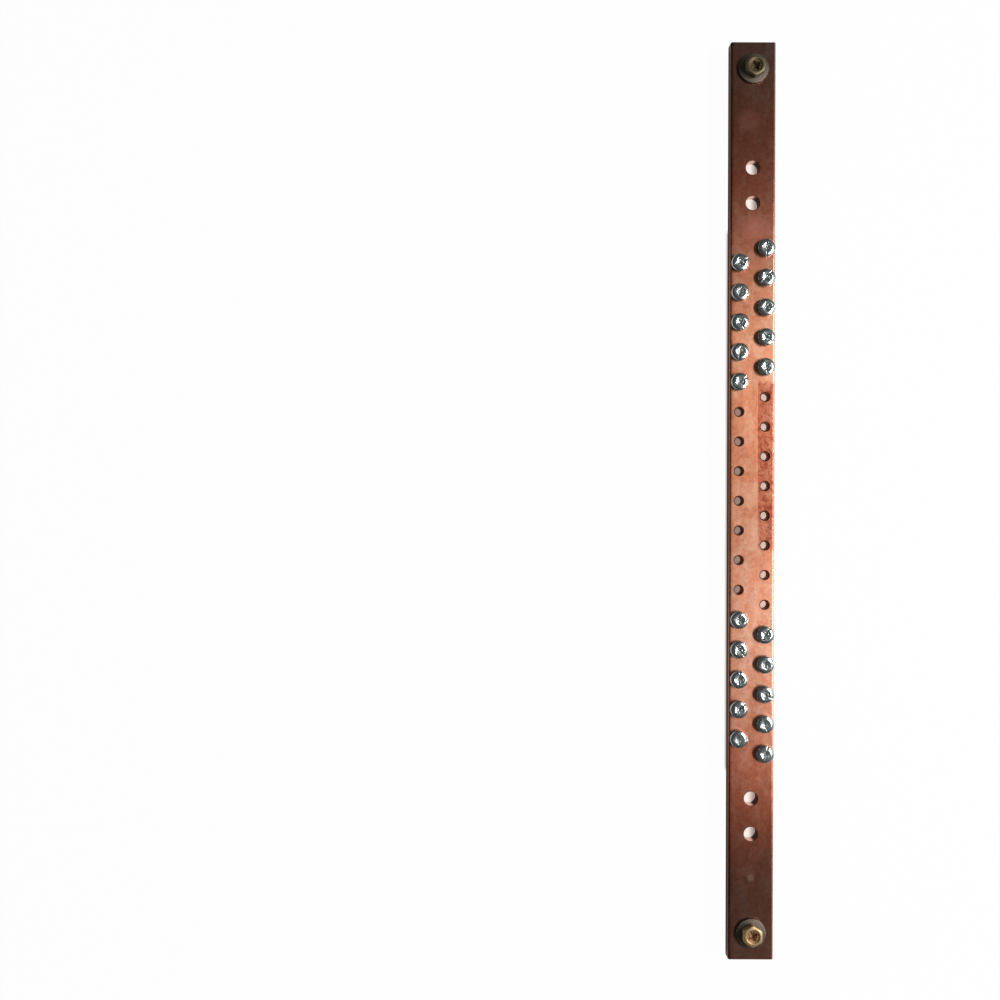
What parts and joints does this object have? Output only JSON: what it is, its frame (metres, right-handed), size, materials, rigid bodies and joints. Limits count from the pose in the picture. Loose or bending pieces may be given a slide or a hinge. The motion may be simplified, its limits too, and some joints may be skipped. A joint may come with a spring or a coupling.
{
  "type": "rack grounding busbar",
  "caption": "Flat copper bar that bolts across a rack by its ends and joins earth conductors, with staggered rows of tapped holes, pan head terminal screws and plain holes for two-hole lugs.",
  "frame": {"origin": "midway between the two rack bolts' axes, on the bar's flat back face", "axes": "+X along the bar, towards the end called right; +Y across the bar's width, towards the row with one tapped hole fewer; +Z out of the front face, where the screw heads are"},
  "size_m": [0.4942, 0.0244, 0.0176],
  "materials": {
    "copper": "bare copper, darkened and tarnished",
    "zinc": "bright zinc plate",
    "yellow_zinc": "yellow chromated zinc, dulled",
    "dark_steel": "dull dark plate"
  },
  "bodies": {
    "root": {"busbar": "copper", "terminal_screw_01": "zinc", "terminal_screw_02": "zinc", "terminal_screw_03": "zinc", "terminal_screw_04": "zinc", "terminal_screw_05": "zinc", "terminal_screw_06": "zinc", "terminal_screw_07": "zinc", "terminal_screw_08": "zinc", "terminal_screw_09": "zinc", "terminal_screw_10": "zinc", "terminal_screw_11": "zinc", "terminal_screw_12": "zinc", "terminal_screw_13": "zinc", "terminal_screw_14": "zinc", "terminal_screw_15": "zinc", "terminal_screw_16": "zinc", "terminal_screw_17": "zinc", "terminal_screw_18": "zinc", "terminal_screw_19": "zinc", "terminal_screw_20": "zinc", "washer_left": "dark_steel", "washer_right": "dark_steel", "rack_bolt_left": "yellow_zinc", "rack_bolt_right": "yellow_zinc"}
  },
  "joints": []
}
